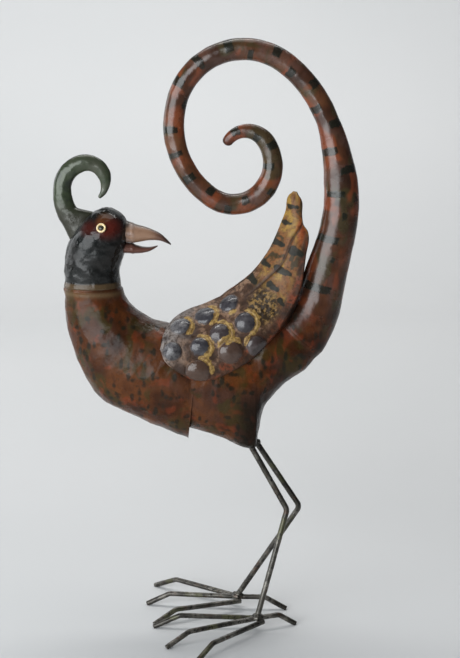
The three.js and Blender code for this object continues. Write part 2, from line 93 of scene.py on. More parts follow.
# Left wing: upper edge x, y, z, lower edge x, y, z, bulge over the chord
WING = [
    [-66.5, -28, 309.5, -68, -38.5, 300, 2], [-62, -19, 318.5, -64, -43.5, 290, 8],
    [-54, -11, 326.5, -56, -45.5, 282, 11], [-42, -7, 333, -41, -46, 273, 13],
    [-26, -5, 338.5, -22, -44, 269, 14], [-8, -5, 347, 4, -41, 279, 13],
    [9, -5, 358, 26, -37, 294, 12], [24, -5, 371, 42, -32, 311, 10],
    [35, -5, 386, 58, -30, 335, 7], [42, -5, 399.5, 69, -28, 359, 6],
    [49, -5, 416.5, 74, -23, 390, 5], [54, -5, 429.5, 77, -18, 407, 4],
    [56.5, -5, 439.5, 72, -14, 424, 3], [58.5, -6, 446.5, 69, -11, 441, 2],
    [62, -7, 451, 65, -9, 450.5, 0],
]
# The sheet, the filling behind it, and where along the wing that has ended and is still whole
WING_SHEET, WING_FILL, WING_FREE = 2, 16, (9.5, 7)
NOTCH_DEPTH = 2.5
# The groove between the feathers, as places along and across the wing
GROOVE = [(6.2, 0.25), (7.5, 0.3), (9, 0.45), (10.4, 0.57), (11.2, 0.72), (11.8, 1.0)]

# Legs and toes, on the rods' centre lines
LEG_ROD, TOE_ROD, KNEE_RADIUS, KNUCKLE_RADIUS = 6.0, 5.5, 8.0, 9.0
ANKLE_HEIGHT, KNUCKLE_HEIGHT, SOLE_DEPTH = 13.0, 13.5, 1.6
TOE_DROP, TOE_OVERRUN, ROD_GAP, ROD_CHAMFER = 2.7, 4.0, 0.3, 0.5
HIP_SUNK = 12
ANKLE_WELD, ANKLE_WELD_OFFSET = (6.4, 6.2, 4.2), (0, 0, 1.2)
HIP_WELD, HIP_WELD_OFFSET = (4.2, 4.2, 3.0), (-0.5, 0, 2.0)
LEGS = {
    "left": {"hip": (22.5, -8.5, 189), "knee": (58.5, -10.5, 124), "ankle": (28.3, -28.8)},
    "right": {"hip": (28, 8.5, 189), "knee": (72.5, 10.5, 120.5), "ankle": (8, 28.9)},
}
TOES = {
    "left": {"yaw": -27, "middle": (0, 103.5), "outer": (-23, 106), "inner": (26.5, 108.5),
             "hind": (188, 42)},
    "right": {"yaw": 5.5, "middle": (0, 97.5), "outer": (25.5, 111.5), "inner": (-30, 99.5),
              "hind": (-181, 52)},
}
KNUCKLE_AT, HIND_KNUCKLE_AT = 0.75, 0.56


# Curves and fields

def smooth_run(points, t):
    """Centripetal Catmull-Rom run through points (n, k), read at t in 0 to n - 1."""
    points = np.asarray(points, float)
    t = np.atleast_1d(np.asarray(t, float))
    last = len(points) - 1
    padded = np.vstack([2 * points[0] - points[1], points, 2 * points[-1] - points[-2]])
    spot = np.clip(np.floor(t).astype(int), 0, last - 1)
    part = (t - spot)[:, None]
    a, b, c, d = (padded[spot + i] for i in range(4))
    steps = [np.maximum(np.sqrt(np.linalg.norm(q - p, axis=1)), 1e-4)[:, None]
             for p, q in ((a, b), (b, c), (c, d))]
    before = ((b - a) / steps[0] - (c - a) / (steps[0] + steps[1]) + (c - b) / steps[1]) * steps[1]
    after = ((c - b) / steps[1] - (d - b) / (steps[1] + steps[2]) + (d - c) / steps[2]) * steps[1]
    cubic = (-3 * b + 3 * c - 2 * before - after, 2 * b - 2 * c + before + after)
    return b + before * part + cubic[0] * part ** 2 + cubic[1] * part ** 3


def soft_step(value, low, high):
    """0 at `low`, 1 at `high`, smooth between, whichever of them is greater."""
    share = np.clip((value - low) / (high - low), 0, 1)
    return share * share * (3 - 2 * share)


def hashed(cell, seed):
    """Repeatable numbers in 0 to 1 for whole-number cells (..., 3)."""
    mixed = (cell[..., 0] * 73856093) ^ (cell[..., 1] * 19349663) ^ (cell[..., 2] * 83492791)
    mixed = (mixed + seed * 2654435761) & 0xFFFFFFFF
    mixed = ((mixed ^ (mixed >> 15)) * 2246822519) & 0xFFFFFFFF
    mixed = ((mixed ^ (mixed >> 13)) * 3266489917) & 0xFFFFFFFF
    return (mixed ^ (mixed >> 16)) / 0xFFFFFFFF


def waves(points, size, seed=0):
    """Smooth value noise in -1 to 1 with features about `size` mm across."""
    place = points / size
    cell = np.floor(place).astype(np.int64)
    part = place - cell
    part = part * part * (3 - 2 * part)
    total = 0
    for corner in np.ndindex(2, 2, 2):
        weight = np.prod(np.where(corner, part, 1 - part), axis=-1)
        total = total + weight * hashed(cell + corner, seed)
    return 2 * total - 1


def dimples(points, size, seed=0):
    """Hammer marks: 0 in the middle of each mark, up to about 1 on the ridges between them."""
    place = points / size
    cell = np.floor(place).astype(np.int64)
    nearest = np.full(points.shape[:-1], 9.0)
    for corner in np.ndindex(3, 3, 3):
        near = cell + corner - 1
        jitter = np.stack([hashed(near, seed + k) for k in range(3)], -1)
        nearest = np.minimum(nearest, np.sum((near + jitter - place) ** 2, axis=-1))
    return np.minimum(nearest, 1.0)


def unit(vectors):
    """The same directions with length 1."""
    return vectors / np.linalg.norm(vectors, axis=-1, keepdims=True)


def circle(sides, first, second):
    """Points (sides, 3) round a unit circle through two directions."""
    angle = ring_angles(sides)[:, None]
    return np.cos(angle) * first + np.sin(angle) * second


def ring_angles(sides):
    return 2 * np.pi * np.arange(sides) / sides


def ring_normals(grid):
    """Unit normals of a grid (rings, sides, 3) of closed rings."""
    along = np.gradient(grid, axis=0)
    across = np.roll(grid, -1, axis=1) - np.roll(grid, 1, axis=1)
    normal = np.cross(across, along)
    length = np.linalg.norm(normal, axis=-1, keepdims=True)
    return normal / np.maximum(length, 1e-9)


# Meshes

def placed(name, data):
    """New object in the scene."""
    made = bpy.data.objects.new(name, data)
    bpy.context.scene.collection.objects.link(made)
    return made


def make_piece(name, grid, nodes, material, fields=None):
    """Closed mesh from a grid in drawing-frame millimetres, which stands for `nodes`.

    Each field is an array over the grid, which the material reads by its name.
    """
    vertices, faces = closed_skin(grid)
    mesh = bpy.data.meshes.new(name)
    mesh.from_pydata(((vertices + SHIFT) * MM).tolist(), [], faces)
    mesh.validate()
    for field, values in (fields or {}).items():
        values = np.broadcast_to(values, grid.shape[:2])
        with_ends = np.concatenate([values.ravel(), [values[0].mean(), values[-1].mean()]])
        attribute = mesh.attributes.new(field, "FLOAT", "POINT")
        attribute.data.foreach_set("value", with_ends.astype(np.float32))
    mesh.shade_smooth()
    mesh.materials.append(material)
    piece = placed(name, mesh)
    if nodes:
        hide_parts(*nodes)
    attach(piece, "root")


def closed_skin(grid):
    """Vertices and faces of a grid of closed rings, with a fan at each end."""
    rings, sides, _ = grid.shape
    vertices = np.vstack([grid.reshape(-1, 3), grid[0].mean(0), grid[-1].mean(0)])
    first, last = rings * sides, rings * sides + 1
    faces = []
    for side in range(sides):
        after = (side + 1) % sides
        for start in range(0, (rings - 1) * sides, sides):
            faces.append((start + side, start + after, start + after + sides, start + side + sides))
        faces.append((first, after, side))
        faces.append((last, (rings - 1) * sides + side, (rings - 1) * sides + after))
    return outward(vertices, faces)


def outward(vertices, faces):
    """The same mesh with its faces turned outward."""
    volume = 0.0
    for face in faces:
        a = vertices[face[0]]
        for i in range(1, len(face) - 1):
            volume += np.dot(a, np.cross(vertices[face[i]], vertices[face[i + 1]]))
    if volume < 0:
        faces = [face[::-1] for face in faces]
    return vertices, faces


def section_rings(back, front, half_depth, sides, fullness, grow=0.0):
    """Rings (n, sides, 3) from back and front points (n, 2) in XZ and half depths (n,)."""
    back, front = np.asarray(back, float), np.asarray(front, float)
    angle = ring_angles(sides)
    fuller = [np.sign(f(angle)) * np.abs(f(angle)) ** (2 / fullness) for f in (np.cos, np.sin)]
    middle = (back + front) / 2
    reach = front - middle
    length = np.linalg.norm(reach, axis=1, keepdims=True)
    reach = reach * (1 + np.reshape(grow, (-1, 1)) / np.maximum(length, 1e-6))
    flat = middle[:, None, :] + reach[:, None, :] * fuller[0][None, :, None]
    depth = (np.asarray(half_depth) + grow)[:, None] * fuller[1][None, :]
    return np.stack([flat[..., 0], depth, flat[..., 1]], axis=-1)


def body_edges(sections, t):
    """Back and front of a body shell at places t along its sections, as x, half depth and z."""
    table = np.asarray(sections, float)
    return smooth_run(table[:, [0, 4, 1]], t), smooth_run(table[:, [2, 4, 3]], t)


def body_grid(sections, t, sides, grow=0.0):
    """Rings of a body shell at places t along its sections, `grow` mm outside them."""
    back, front = body_edges(sections, t)
    grow = np.broadcast_to(grow, (len(np.atleast_1d(t)),))
    return section_rings(back[:, [0, 2]], front[:, [0, 2]], back[:, 1], sides, FULLNESS, grow)


def tube_table(root, arcs, step):
    """Rows of centre x, z, heading, half width and length along a chain of arcs."""
    x, z, heading, half_width = root
    heading = math.radians(heading)
    x -= half_width * math.sin(heading)
    z += half_width * math.cos(heading)
    rows = [(x, z, heading, half_width, 0.0)]
    along = 0.0
    for length, turn, end_width in arcs:
        count = max(3, round(length / step))
        start_width = half_width
        for i in range(1, count + 1):
            heading += math.radians(turn) / count / 2
            x += math.cos(heading) * length / count
            z += math.sin(heading) * length / count
            heading += math.radians(turn) / count / 2
            half_width = start_width + (end_width - start_width) * i / count
            along += length / count
            rows.append((x, z, heading, half_width, along))
    return np.array(rows)


def add_tip(rows, rings=8, reach=0.95):
    """Rounded end on a tube table."""
    x, z, heading, half_width, along = rows[-1]
    extra = []
    for i in range(1, rings + 1):
        angle = math.pi / 2 * i / rings
        ahead = half_width * reach * math.sin(angle)
        width = max(half_width * math.cos(angle), 0.05)
        extra.append((x + ahead * math.cos(heading), z + ahead * math.sin(heading), heading,
                      width, along + ahead))
    return np.vstack([rows, extra])


def tube_grid(rows, half_depth, sides, fullness=ROUND):
    """Rings square to the path of a tube table."""
    centre = rows[:, :2]
    reach = np.stack([-np.sin(rows[:, 2]), np.cos(rows[:, 2])], 1) * rows[:, 3:4]
    return section_rings(centre + reach, centre - reach, half_depth, sides, fullness)


# Node materials

class Paint:
    """Small helper that grows one node material."""

    def __init__(self, name):
        self.material = bpy.data.materials.new(name)
        self.material.use_nodes = True
        self.nodes = self.material.node_tree.nodes
        self.links = self.material.node_tree.links
        self.shader = self.nodes["Principled BSDF"]
        place = self.nodes.new("ShaderNodeTexCoord")
        self.place = place.outputs["Object"]
        self.colour = None

    def put(self, node, key, value):
        socket = node.inputs[key]
        if isinstance(value, bpy.types.NodeSocket):
            self.links.new(value, socket)
        else:
            socket.default_value = value

    def node(self, kind, inputs, **settings):
        made = self.nodes.new("ShaderNode" + kind)
        for key, value in settings.items():
            setattr(made, key, value)
        for key, value in inputs.items():
            self.put(made, key, value)
        return made

    def moved(self, offset, stretch):
        inputs = {"Vector": self.place, "Location": offset, "Scale": stretch}
        return self.node("Mapping", inputs).outputs[0]

    def noise(self, size, detail=2.0, roughness=0.55, seed=0, stretch=(1, 1, 1), distortion=0.0):
        """Noise in 0 to 1 with features about `size` mm across."""
        vector = self.moved((0.37 * seed, 0.11 * seed, 0.73 * seed), stretch)
        made = self.node("TexNoise", {"Vector": vector, "Scale": 0.6 / (size * MM), "Detail": detail,
                                      "Roughness": roughness, "Distortion": distortion})
        return made.outputs["Fac"]

    def cells(self, size, seed, stretch):
        """Distance from the middle of the nearest cell, with cells about `size` mm across."""
        vector = self.moved((0.53 * seed, 0.29 * seed, 0.17 * seed), stretch)
        made = self.node("TexVoronoi", {"Vector": vector, "Scale": 1 / (size * MM)})
        return made.outputs["Distance"]

    def field(self, name):
        """The mesh's attribute of that name."""
        return self.node("Attribute", {}, attribute_name=name).outputs["Fac"]

    def math(self, operation, a, b=0.0, clamp=False):
        return self.node("Math", {0: a, 1: b}, operation=operation, use_clamp=clamp).outputs[0]

    def times(self, a, b):
        return self.math("MULTIPLY", a, b)

    def over(self, value, low, high):
        """0 under `low`, 1 over `high`, smooth between; the other way round when low > high."""
        inputs = {"Value": value, "From Min": min(low, high), "From Max": max(low, high),
                  "To Min": 0.0 if low < high else 1.0, "To Max": 1.0 if low < high else 0.0}
        return self.node("MapRange", inputs, interpolation_type="SMOOTHSTEP").outputs["Result"]

    def part(self, value, low, high, share):
        """`over`, times a share of the whole."""
        return self.times(self.over(value, low, high), share)

    def span(self, value, low, high):
        """0 to 1 stretched to `low` to `high`."""
        return self.node("MapRange", {"Value": value, "To Min": low, "To Max": high}).outputs["Result"]

    def ramp(self, value, *stops):
        """Colour by value, from (position, colour) stops."""
        made = self.node("ValToRGB", {"Fac": value})
        elements = made.color_ramp.elements
        while len(elements) < len(stops):
            elements.new(0.5)
        for element, (position, colour) in zip(elements, stops):
            element.position = position
            element.color = (*colour, 1)
        return made.outputs["Color"]

    def cover(self, share, colour):
        """The colour so far, covered with another by a share."""
        self.colour = self.mix(share, self.colour, colour)

    def mix(self, share, below, above):
        """`above` over `below` by a share."""
        # Sockets 6 and 7 are the colours
        below, above = [(*c, 1) if isinstance(c, tuple) else c for c in (below, above)]
        return self.node("Mix", {0: share, 6: below, 7: above}, data_type="RGBA").outputs[2]

    def bump(self, heights):
        """Chain of bumps from (height, depth in mm) pairs."""
        normal = None
        for height, depth in heights:
            inputs = {"Height": height, "Distance": depth * MM, "Strength": 1.0}
            if normal is not None:
                inputs["Normal"] = normal
            normal = self.node("Bump", inputs).outputs["Normal"]
        self.put(self.shader, "Normal", normal)

    def finish(self, roughness, metallic=0.0, coat=0.0, coat_roughness=0.1, specular=0.5):
        """The material, with its shader's sockets set or linked."""
        sockets = {"Base Color": self.colour, "Roughness": roughness, "Metallic": metallic,
                   "Specular IOR Level": specular, "Coat Weight": coat,
                   "Coat Roughness": coat_roughness}
        for key, value in sockets.items():
            self.put(self.shader, key, value)
        return self.material


# Distance field value far outside any painted mark, in mm
OUTSIDE = -9.0

# Colours, as linear light
BODY_COLOURS = [(0.02, 0.008, 0.004), (0.049, 0.015, 0.0045), (0.102, 0.033, 0.009),
                (0.036, 0.027, 0.007), (0.18, 0.034, 0.011), (0.06, 0.026, 0.017)]
TAIL_COLOURS = [(0.03, 0.013, 0.007), (0.062, 0.023, 0.011), (0.115, 0.044, 0.018),
                (0.045, 0.036, 0.014), (0.225, 0.052, 0.018), (0.095, 0.05, 0.04)]
DEEP_BROWN = (0.026, 0.011, 0.006)
GREEN_BLACK = (0.008, 0.01, 0.006)
# Near black of the painted shade on the breast, rump and tail
PAINTED_SHADE_BLACK = (0.01, 0.008, 0.006)
SLATE = (0.042, 0.04, 0.046)
GOLD = (0.37, 0.24, 0.075)
TAN = (0.185, 0.09, 0.028)
YELLOW = (0.3, 0.175, 0.036)
HORN = (0.3, 0.175, 0.11)
DARK_HORN = (0.085, 0.036, 0.024)
RED_HORN = (0.125, 0.05, 0.034)
CREST_GREEN = (0.042, 0.055, 0.03)
STEEL = (0.06, 0.055, 0.045)
RUST = (0.06, 0.026, 0.012)
MAROON = (0.085, 0.012, 0.007)


def mottled(p, palette, dab_size, dab_from, dab_share):
    """Ground colour of brushed browns with mauve and olive patches and red dabs."""
    deep, ground, warm, olive, dab, mauve = palette
    colour = p.ramp(p.noise(26, 2, seed=1), (0.34, deep), (0.48, ground), (0.64, warm))
    clouds = p.noise(15, 2, 0.5, seed=4, distortion=0.3)
    colour = p.mix(p.part(clouds, 0.5, 0.66, 0.55), colour, mauve)
    patches = p.noise(13, 2, 0.5, seed=3, stretch=(1, 1, 0.8), distortion=0.6)
    colour = p.mix(p.part(patches, 0.5, 0.64, 0.75), colour, olive)
    dabs = p.noise(dab_size, 1.5, 0.5, seed=2, stretch=(1, 1, 0.8), distortion=0.6)
    return p.mix(p.part(dabs, dab_from, dab_from + 0.14, dab_share), colour, dab)


def plumage():
    """Red-brown enamel of the body, spotted, and of the tail, with bars."""
    p = Paint("plumage enamel")
    tail = p.field("tail")
    body_colour = mottled(p, BODY_COLOURS, dab_size=8, dab_from=0.55, dab_share=0.42)
    tail_colour = mottled(p, TAIL_COLOURS, dab_size=13, dab_from=0.48, dab_share=0.6)
    p.colour = p.mix(tail, body_colour, tail_colour)
    edge = p.noise(3.2, 3, 0.6, seed=5)
    spots = 0.0
    for size, seed, stretch, reach in ((15, 6, (1.9, 1, 0.9), 0.36), (18, 16, (1.2, 1, 1.7), 0.31)):
        grain = p.math("ADD", p.cells(size, seed=seed, stretch=stretch), p.span(edge, -0.26, 0.26))
        spots = p.math("MAXIMUM", p.over(grain, reach, reach - 0.2), spots)
    spots = p.times(p.times(spots, p.field("spotted")), 0.8)
    bars = p.math("ADD", p.field("bars"), p.span(edge, -2.4, 2.4))
    marks = p.math("MAXIMUM", spots, p.part(bars, -0.9, 1.0, 0.93))
    p.cover(marks, GREEN_BLACK)
    strokes = p.noise(2.2, 3, 0.6, seed=7, stretch=(1, 1, 0.4))
    p.cover(p.part(strokes, 0.48, 0.74, 0.4), DEEP_BROWN)
    p.cover(p.times(p.field("band"), 0.6), (0.13, 0.085, 0.042))
    # Painted shade: each piece's shade field darkens the enamel towards near black
    p.cover(p.times(p.field("shade"), 0.85), PAINTED_SHADE_BLACK)
    p.bump([(p.noise(7, 2, seed=8), 0.6), (strokes, 0.06), (marks, 0.06)])
    dull = p.span(p.noise(12, 3, seed=9), 0.12, 0.46)
    dull = p.math("SUBTRACT", dull, p.span(tail, 0.0, 0.05), clamp=True)
    gloss = p.times(p.span(tail, 0.17, 0.5), p.span(p.field("shade"), 1.0, 0.3))
    return p.finish(dull, specular=gloss)


def head_paint():
    p = Paint("head enamel")
    wide = p.noise(20, 2, seed=11)
    p.colour = p.ramp(wide, (0.35, (0.005, 0.007, 0.007)), (0.65, (0.012, 0.011, 0.01)))
    p.cover(p.field("maroon"), MAROON)
    p.cover(p.field("amber"), (0.11, 0.04, 0.012))
    dirt = p.noise(2.4, 3, seed=12)
    p.cover(p.part(dirt, 0.58, 0.72, 0.3), (0.03, 0.028, 0.026))
    p.cover(p.field("band"), (0.085, 0.055, 0.028))
    p.bump([(p.noise(6.5, 2, seed=13), 1.0), (p.noise(1.4, 2, seed=14), 0.05)])
    return p.finish(p.span(p.noise(8, 3, seed=15), -0.16, 0.6), specular=0.3)


def crest_paint():
    p = Paint("crest enamel")
    p.colour = p.ramp(p.noise(9, 3, seed=21, distortion=0.4), (0.3, (0.02, 0.026, 0.018)),
                      (0.5, CREST_GREEN), (0.72, (0.06, 0.064, 0.044)))
    chips = p.noise(3, 3, seed=22)
    p.cover(p.part(chips, 0.62, 0.72, 0.6), (0.03, 0.03, 0.03))
    p.cover(p.times(p.field("edge"), 0.7), (0.02, 0.022, 0.025))
    p.bump([(p.noise(5, 2, seed=23), 0.35), (chips, 0.06)])
    # Painted shade where the crest's root meets the head
    p.cover(p.field("root"), (0.024, 0.021, 0.014))
    return p.finish(p.span(p.noise(6, 3, seed=24), 0.12, 0.32), 0.15)


def horn_paint(name, light, dark):
    p = Paint(name)
    p.colour = p.mix(p.over(p.field("tip"), 0.35, 1.0), light, dark)
    blotch = p.noise(5, 3, seed=31, stretch=(0.6, 1, 1))
    p.cover(p.part(blotch, 0.52, 0.68, 0.5), dark)
    # Painted highlight, pale and broken, on the cuff at the upper beak's base
    pale = p.noise(4, 3, seed=32)
    cuff_highlight = p.times(p.field("cuff"), p.part(pale, 0.4, 0.6, 0.6))
    p.cover(cuff_highlight, (0.42, 0.32, 0.28))
    p.cover(p.field("dark"), (0.03, 0.022, 0.017))
    p.bump([(p.noise(3.5, 3, seed=33, stretch=(0.4, 1, 1)), 0.25), (p.noise(0.9, 2, seed=34), 0.03)])
    return p.finish(p.span(p.noise(4, 3, seed=35), 0.3, 0.5), 0.15, 0.25, 0.15)


def eye_paint():
    p = Paint("eye enamel")
    grain = p.noise(1.2, 2, seed=41)
    ring = p.mix(p.over(grain, 0.45, 0.7), (0.86, 0.72, 0.44), (0.66, 0.42, 0.14))
    p.colour = p.mix(p.field("pupil"), ring, (0.018, 0.016, 0.006))
    p.cover(p.field("rim"), (0.3, 0.09, 0.015))
    p.bump([(grain, 0.06)])
    return p.finish(p.span(grain, 0.2, 0.4), 0.0, 0.4, 0.08)


def wing_paint():
    p = Paint("wing enamel")
    speck = p.noise(2.0, 4, 0.7, seed=53)
    p.colour = p.ramp(p.noise(9, 3, seed=51, distortion=0.6), (0.34, (0.036, 0.018, 0.011)),
                      (0.49, (0.072, 0.036, 0.021)), (0.59, (0.2, 0.12, 0.076)))
    # Painted highlight: pale silver over the wing's front
    silver_highlight = p.ramp(p.noise(6, 3, seed=58), (0.36, (0.06, 0.054, 0.056)), (0.6, (0.24, 0.215, 0.2)))
    p.cover(p.field("front"), silver_highlight)
    feather = p.ramp(p.noise(10, 3, seed=52, distortion=0.7), (0.38, (0.045, 0.028, 0.009)),
                     (0.45, (0.19, 0.072, 0.02)), (0.53, TAN), (0.61, YELLOW))
    feather = p.mix(p.field("ember"), feather, (0.26, 0.055, 0.016))
    p.cover(p.field("feather"), feather)
    margin = p.ramp(p.noise(8, 2, seed=2, distortion=0.5), (0.42, (0.03, 0.014, 0.009)),
                    (0.56, (0.075, 0.026, 0.012)), (0.66, (0.17, 0.038, 0.014)))
    p.cover(p.field("rear"), margin)
    grains = p.times(p.noise(2.0, 2, 0.5, seed=59), p.span(p.noise(7, 2, seed=60), 0.75, 1.25))
    stipple = p.mix(p.over(grains, 0.46, 0.6), (0.026, 0.015, 0.006), (0.22, 0.13, 0.04))
    p.cover(p.field("stipple"), stipple)
    worn = p.part(speck, 0.49, 0.6, p.span(p.field("feather"), 0.75, 0.35))
    p.cover(worn, (0.028, 0.015, 0.007))
    edge = p.noise(3.0, 3, seed=54)
    dome = p.over(p.math("ADD", p.field("dome"), p.span(edge, -2.4, 1.6)), -0.8, 1.4)
    dome_colour = p.ramp(p.noise(6, 3, seed=55), (0.3, (0.016, 0.014, 0.016)), (0.52, SLATE),
                         (0.72, (0.085, 0.082, 0.088)))
    # Painted highlight: the domes at the wing's front are lightened towards silver
    dome_colour = p.mix(p.part(speck, 0.35, 0.6, p.field("front")), dome_colour,
                        (0.14, 0.135, 0.138))
    dome_colour = p.mix(p.field("mauve"), dome_colour, (0.07, 0.04, 0.028))
    p.cover(dome, dome_colour)
    gold = p.over(p.math("ADD", p.field("gold"), p.span(edge, -2.6, 2.6)), -0.3, 0.7)
    gold_colour = p.mix(p.over(speck, 0.4, 0.6), GOLD, (0.18, 0.105, 0.035))
    p.cover(p.times(gold, 0.95), gold_colour)
    bars = p.over(p.math("ADD", p.field("bars"), p.span(edge, -1.8, 2.6)), -0.5, 0.7)
    p.cover(p.times(bars, 0.95), GREEN_BLACK)
    # Painted shade down the groove between the feathers
    p.cover(p.field("groove"), (0.026, 0.012, 0.007))
    rough_ground = p.times(speck, p.span(p.field("stipple"), 0.25, 1.0))
    p.bump([(p.noise(4.5, 2, seed=56), 0.5), (rough_ground, 0.4), (bars, 0.05)])
    dull = p.times(p.span(p.noise(6, 3, seed=57), 0.3, 0.6), p.span(dome, 1.0, 0.45))
    return p.finish(dull, specular=p.span(dome, 0.25, 0.5))


def steel_paint(name, weld=False):
    p = Paint(name)
    p.colour = p.ramp(p.noise(9, 3, seed=61), (0.34, (0.026, 0.023, 0.019)), (0.5, STEEL),
                      (0.66, (0.15, 0.14, 0.122)))
    olive = p.noise(16, 2, seed=62)
    p.cover(p.part(olive, 0.56, 0.66, 0.6), (0.07, 0.07, 0.026))
    rust = p.noise(5, 4, 0.65, seed=63)
    p.cover(p.part(rust, 0.56, 0.68, 0.6), RUST)
    specks = p.noise(2.6, 3, seed=64)
    p.cover(p.part(specks, 0.56, 0.64, 0.9), (0.012, 0.01, 0.009))
    p.bump([(p.noise(2.2, 3, seed=65), 0.25 if weld else 0.14), (specks, 0.05)])
    return p.finish(p.span(p.noise(4, 3, seed=66), 0.1, 0.5), 0.45, specular=0.6)


# Head, breast and rump

CROWN_RISE = 0.35
# Field, share, middle and radii of the colours that glow round each eye
HEAD_GLOWS = [
    ("maroon", 0.9, (-119, 21, 416.5), (21, 26, 15.5)), ("maroon", 0.5, (-138, 20, 416), (15, 18, 12)),
    ("amber", 0.7, (-126, 22, 423), (8, 14, 7)), ("amber", 0.6, (-123, 16, 426), (10, 14, 7)),
]
NECK_SEAM_HEIGHT, NECK_SEAM_RISE = 352.6, 0.55
LIP_CLOSING = 0.085
# Middle x and z, and radii, of the painted shade by the legs
HIP_SHADE = (26, 190), (24, 34)
# Passes of hammer marks on each piece: depth, size and seed
DENTS = {
    "head": [(0.9, 12, 3), (0.8, 7, 4)], "breast": [(1, 16, 21), (0.6, 9, 23)],
    "rump": [(1, 16, 22), (0.6, 9, 24)], "tail": [(0.45, 11, 31)], "crest": [(0.45, 7, 41)],
    "beak": [(0.2, 5, 51)],
}


def dented(grid, piece, weight=1.0):
    """Grid pushed in by a piece's passes of hammer marks and slow waves."""
    for depth, size, seed in DENTS[piece]:
        normal = ring_normals(grid)
        outside = grid - grid.mean(axis=1, keepdims=True)
        turned = np.where(np.sum(normal * outside, -1, keepdims=True) < 0, -1, 1)
        marks = dimples(grid, size, seed) - 0.9 + 0.5 * waves(grid, size * 2.2, seed + 5)
        grid = grid + normal * turned * (depth * weight * np.minimum(marks, 0))[..., None]
    return grid


def blob_field(points, middle, radii, core, edge=1.0):
    """1 in the middle of an oval, fading from `core` to 0 at `edge` times its radii."""
    distance = np.linalg.norm((points - np.array(middle)) / np.array(radii), axis=-1)
    return soft_step(distance, edge, core)


def build_head():
    t = np.concatenate([np.linspace(0, 5.9, 120), np.linspace(5.91, 6, 6)])
    grid = body_grid(HEAD, t, HEAD_SIDES)
    # The crown closes over its last ring
    middle = grid[-1].mean(0)
    cap = []
    for angle in math.pi / 2 * np.arange(1, 9) / 8:
        lift = np.array([0, 0, CROWN_RISE * math.sin(angle)])
        cap.append(middle + (grid[-1] - middle) * max(math.cos(angle), 0.02) + lift)
    grid = np.concatenate([grid, cap])
    worked = soft_step(grid[..., 2], 356, 362)
    grid = dented(grid, "head", worked)
    fields = {}
    for side in (-1, 1):
        for name, share, (x, y, z), radii in HEAD_GLOWS:
            glow = share * blob_field(grid, (x, side * y, z), radii, 0.1)
            fields[name] = np.maximum(fields.get(name, 0), glow)
    edge = 0.8 * waves(grid, 7, 9)
    fields["band"] = 0.85 * soft_step(grid[..., 2] + edge, 361.4, 359.6)
    make_piece("head_shell", grid, ["head"], head_paint(), fields)


def body_fields(grid):
    """Paint fields of the breast and rump: painted shade by the legs, at the rump's rear and towards
    the belly, with a dull rim round the neck.
    """
    x, z = grid[..., 0], grid[..., 2]
    spotted = soft_step(z, 350, 330)
    # Painted shade by the legs, at the rump's rear and darker towards the belly
    hip = blob_field(grid[..., [0, 2]], *HIP_SHADE, core=0.55, edge=1.15)
    under = soft_step(z, 214, 196)
    rear = 0.95 * soft_step(x, -2, 20) * soft_step(z, 268, 234)
    shade = np.maximum(np.maximum(hip, rear), 0.35 * under)
    rim = np.exp(-((z - 350) / 2.6) ** 2) * (x < -90)
    return {"spotted": spotted, "shade": np.clip(shade, 0, 1), "band": rim, "tail": 0.0,
            "bars": OUTSIDE}


def build_breast(material):
    t = np.concatenate([np.linspace(0, 0.2, 14), np.linspace(0.23, 5.97, 230)])
    outer = body_grid(BREAST, t, BODY_SIDES)
    off_seam = (outer[..., 2] - NECK_SEAM_HEIGHT) / 1.1
    seam = NECK_SEAM_RISE * np.exp(-off_seam ** 2) * (outer[..., 0] < -90)
    worked = soft_step(352 - outer[..., 2], 0, 8)
    outer = dented(outer, "breast", worked)
    outer = outer + unit(outer - outer.mean(axis=1, keepdims=True)) * seam[..., None]
    # The rear lip turns round and runs back inside
    lip_t = np.array([5.99, 6.0, 6.0, 5.99])
    inner_t = np.linspace(5.97, 5.3, 24)
    lip = body_grid(BREAST, lip_t, BODY_SIDES, np.array([-0.1, -0.45, -1.05, -1.4]))
    inner = body_grid(BREAST, inner_t, BODY_SIDES, -1.5)
    grid = np.concatenate([outer, lip, inner])
    closing = soft_step(np.concatenate([t, lip_t, inner_t]), 5.2, 6.0)[:, None]
    grid[..., 1] *= 1 - LIP_CLOSING * closing * soft_step(grid[..., 2], 204, 224)
    fields = body_fields(grid)
    # Painted shade inside the lip, where the shell runs back into the body
    lip_inside_shade = np.zeros(grid.shape[:2])
    lip_inside_shade[len(outer) + 3:] = 0.9
    fields["shade"] = np.maximum(fields["shade"], lip_inside_shade)
    make_piece("breast_shell", grid, ["breast"], material, fields)


def build_rump(material):
    x, z, heading, half_width = TAIL_ROOT
    heading = math.radians(heading)
    root = [x - 2 * half_width * math.sin(heading), z + 2 * half_width * math.cos(heading), x, z,
            half_width * TAIL_FLATNESS]
    sections = RUMP + [root]
    last = len(sections) - 1
    t = np.linspace(0, last, 260)
    grid = body_grid(sections, t, BODY_SIDES)
    grid[..., 1] *= 1 + 0.012 * soft_step(t, 3.5, 1.5)[:, None]
    worked = soft_step(last - t, 0, 0.4)[:, None]
    grid = dented(grid, "rump", worked)
    middle = grid.mean(axis=1, keepdims=True)
    # The end dives under the tail's skin
    grid = middle + (grid - middle) * (1 - 0.02 * soft_step(t, last - 0.2, last))[:, None, None]
    make_piece("rump_shell", grid, ["rump"], material, body_fields(grid))


